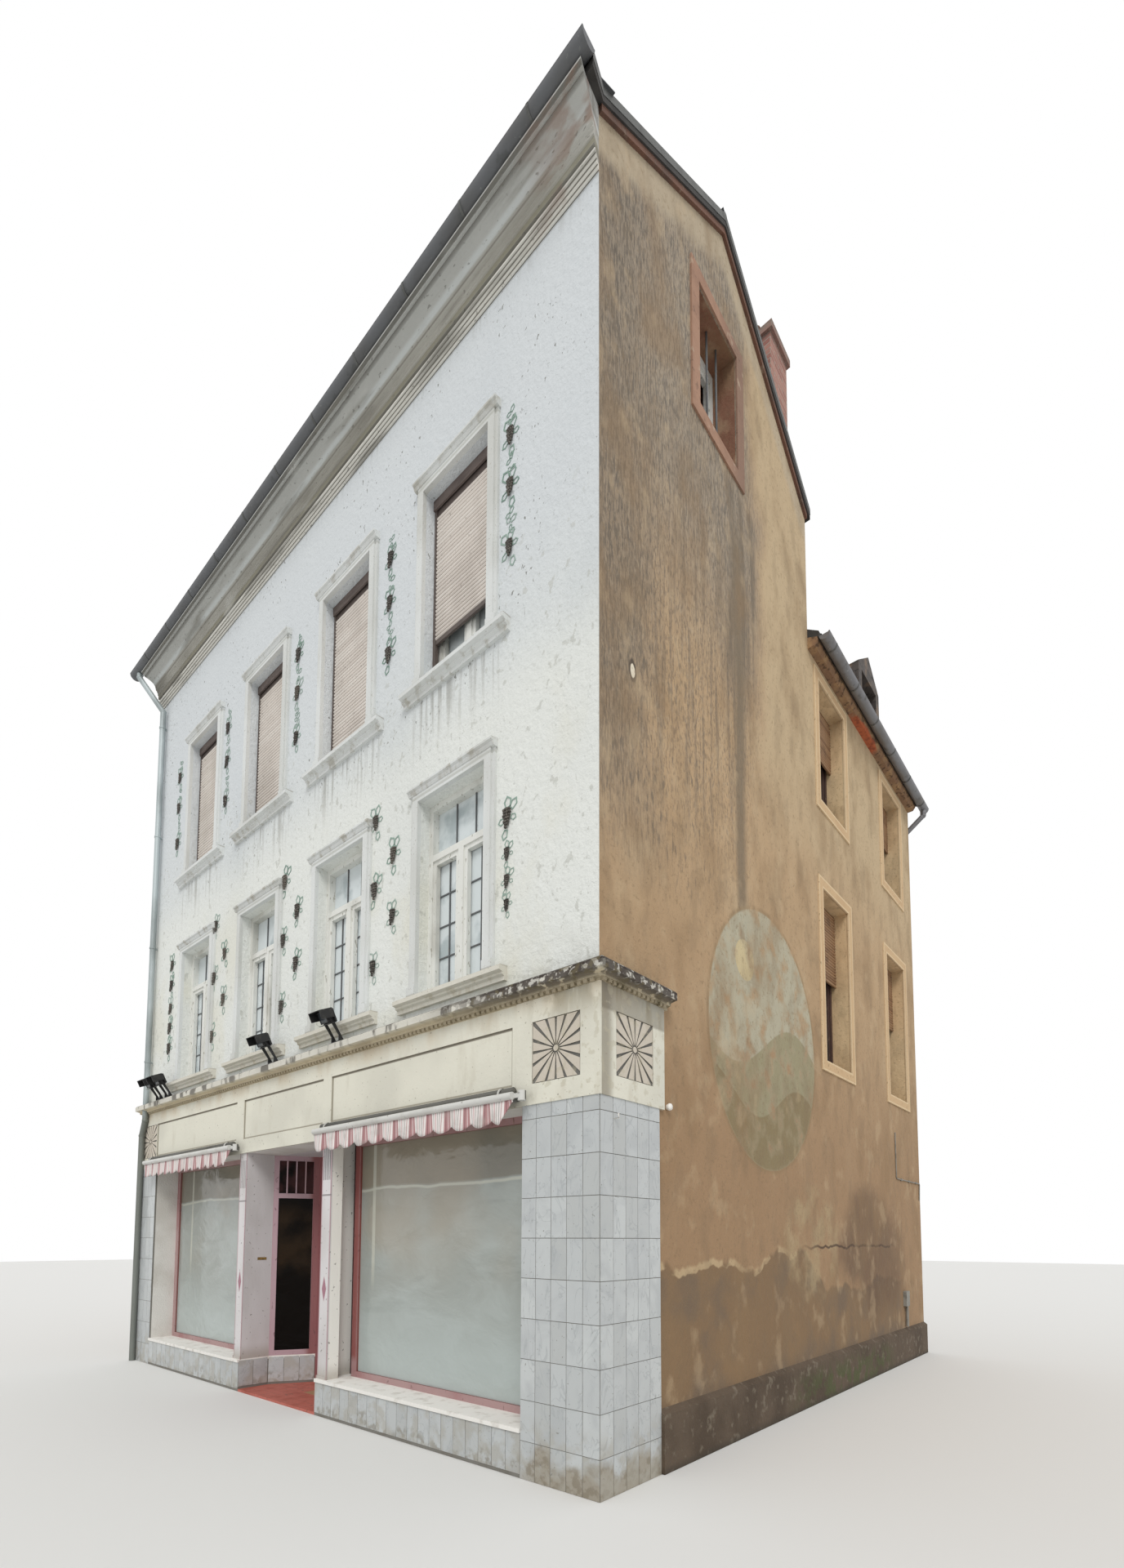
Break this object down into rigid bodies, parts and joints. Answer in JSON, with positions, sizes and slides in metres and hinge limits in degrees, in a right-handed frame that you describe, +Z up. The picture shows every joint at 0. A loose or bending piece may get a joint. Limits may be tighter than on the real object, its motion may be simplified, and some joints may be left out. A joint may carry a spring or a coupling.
{
  "type": "corner shop building",
  "caption": "Tall gabled corner house with a rear wing: tiled shop front, splayed entrance, moulded windows, coved cornice and gutter.",
  "frame": {"origin": "on the ground under the building, halfway along the street front and halfway through the depth of the main block", "axes": "+X along the street front towards the street corner, +Y from the street into the building, +Z up"},
  "size_m": [9.2723, 9.0473, 12.61],
  "materials": {
    "floor_concrete": "screeded concrete",
    "floor_timber": "boards on joists, plastered below",
    "masonry": "rendered masonry",
    "white_roughcast": "rough-cast render, off-white",
    "tan_render": "weathered tan render with dark streaks",
    "brick_party": "plain render",
    "roof_slates": "natural slates",
    "chimney_brick": "red brick",
    "dormer_slate": "dark weathered slate",
    "cornice_stone": "weathered stone",
    "zinc": "weathered zinc",
    "dark_wood": "weathered board",
    "wing_stone": "rough weathered stone",
    "white_moulding": "painted moulding",
    "white_frames": "white paint",
    "beige_shutter": "ribbed slats",
    "window_glass": "clear",
    "cream_stone": "painted stone",
    "brown_frames": "brown paint",
    "tan_shutter": "ribbed slats",
    "red_sandstone": "weathered sandstone",
    "cream_paint": "cream paint",
    "cornice_paint": "weathered paint with lichen",
    "white_tiles": "marbled wall tiles",
    "grey_plinth": "grey cement with moss",
    "white_paint": "white gloss",
    "pink_frames": "maroon and pink paint",
    "shop_glass": "papered behind",
    "red_tiles": "red floor tiles",
    "awning_metal": "white enamel",
    "striped_cloth": "pink, maroon and grey-white stripes",
    "black_metal": "black"
  },
  "bodies": {
    "root": {"ground_floor": "floor_concrete", "upper_floors": "floor_timber", "front_piers": "masonry", "shop_lintel": "masonry", "front_wall": "white_roughcast", "gable_wall": "tan_render", "party_wall": "brick_party", "rear_wall": "tan_render", "wing_side_wall": "tan_render", "wing_court_wall": "tan_render", "wing_end_wall": "tan_render", "roof_front": "roof_slates", "roof_rear": "roof_slates", "wing_roof_street": "roof_slates", "wing_roof_court": "roof_slates", "chimney": "chimney_brick", "dormer": "dormer_slate", "main_cornice": "cornice_stone", "front_gutter": "zinc", "front_downpipe": "zinc", "verge_boards": "dark_wood", "wing_eave": "wing_stone", "wing_gutters": "zinc", "window_surrounds": "white_moulding", "front_windows": "white_frames", "roller_shutters": "beige_shutter", "window_glass": "window_glass", "wing_surrounds": "cream_stone", "rear_windows": "brown_frames", "wing_shutters": "tan_shutter", "attic_surround": "red_sandstone", "attic_window": "white_frames", "fascia": "cream_paint", "shop_cornice": "cornice_paint", "pier_tiles": "white_tiles", "side_plinth": "grey_plinth", "stall_risers": "white_tiles", "shop_posts": "white_paint", "shop_frames": "pink_frames", "shop_glass": "shop_glass", "recess_floor": "red_tiles", "recess_soffit": "white_paint", "side_lights": "pink_frames", "entrance_frame": "pink_frames", "entrance_door": "pink_frames", "awnings": "awning_metal", "awning_valances": "striped_cloth", "floodlights": "black_metal"}
  },
  "joints": []
}
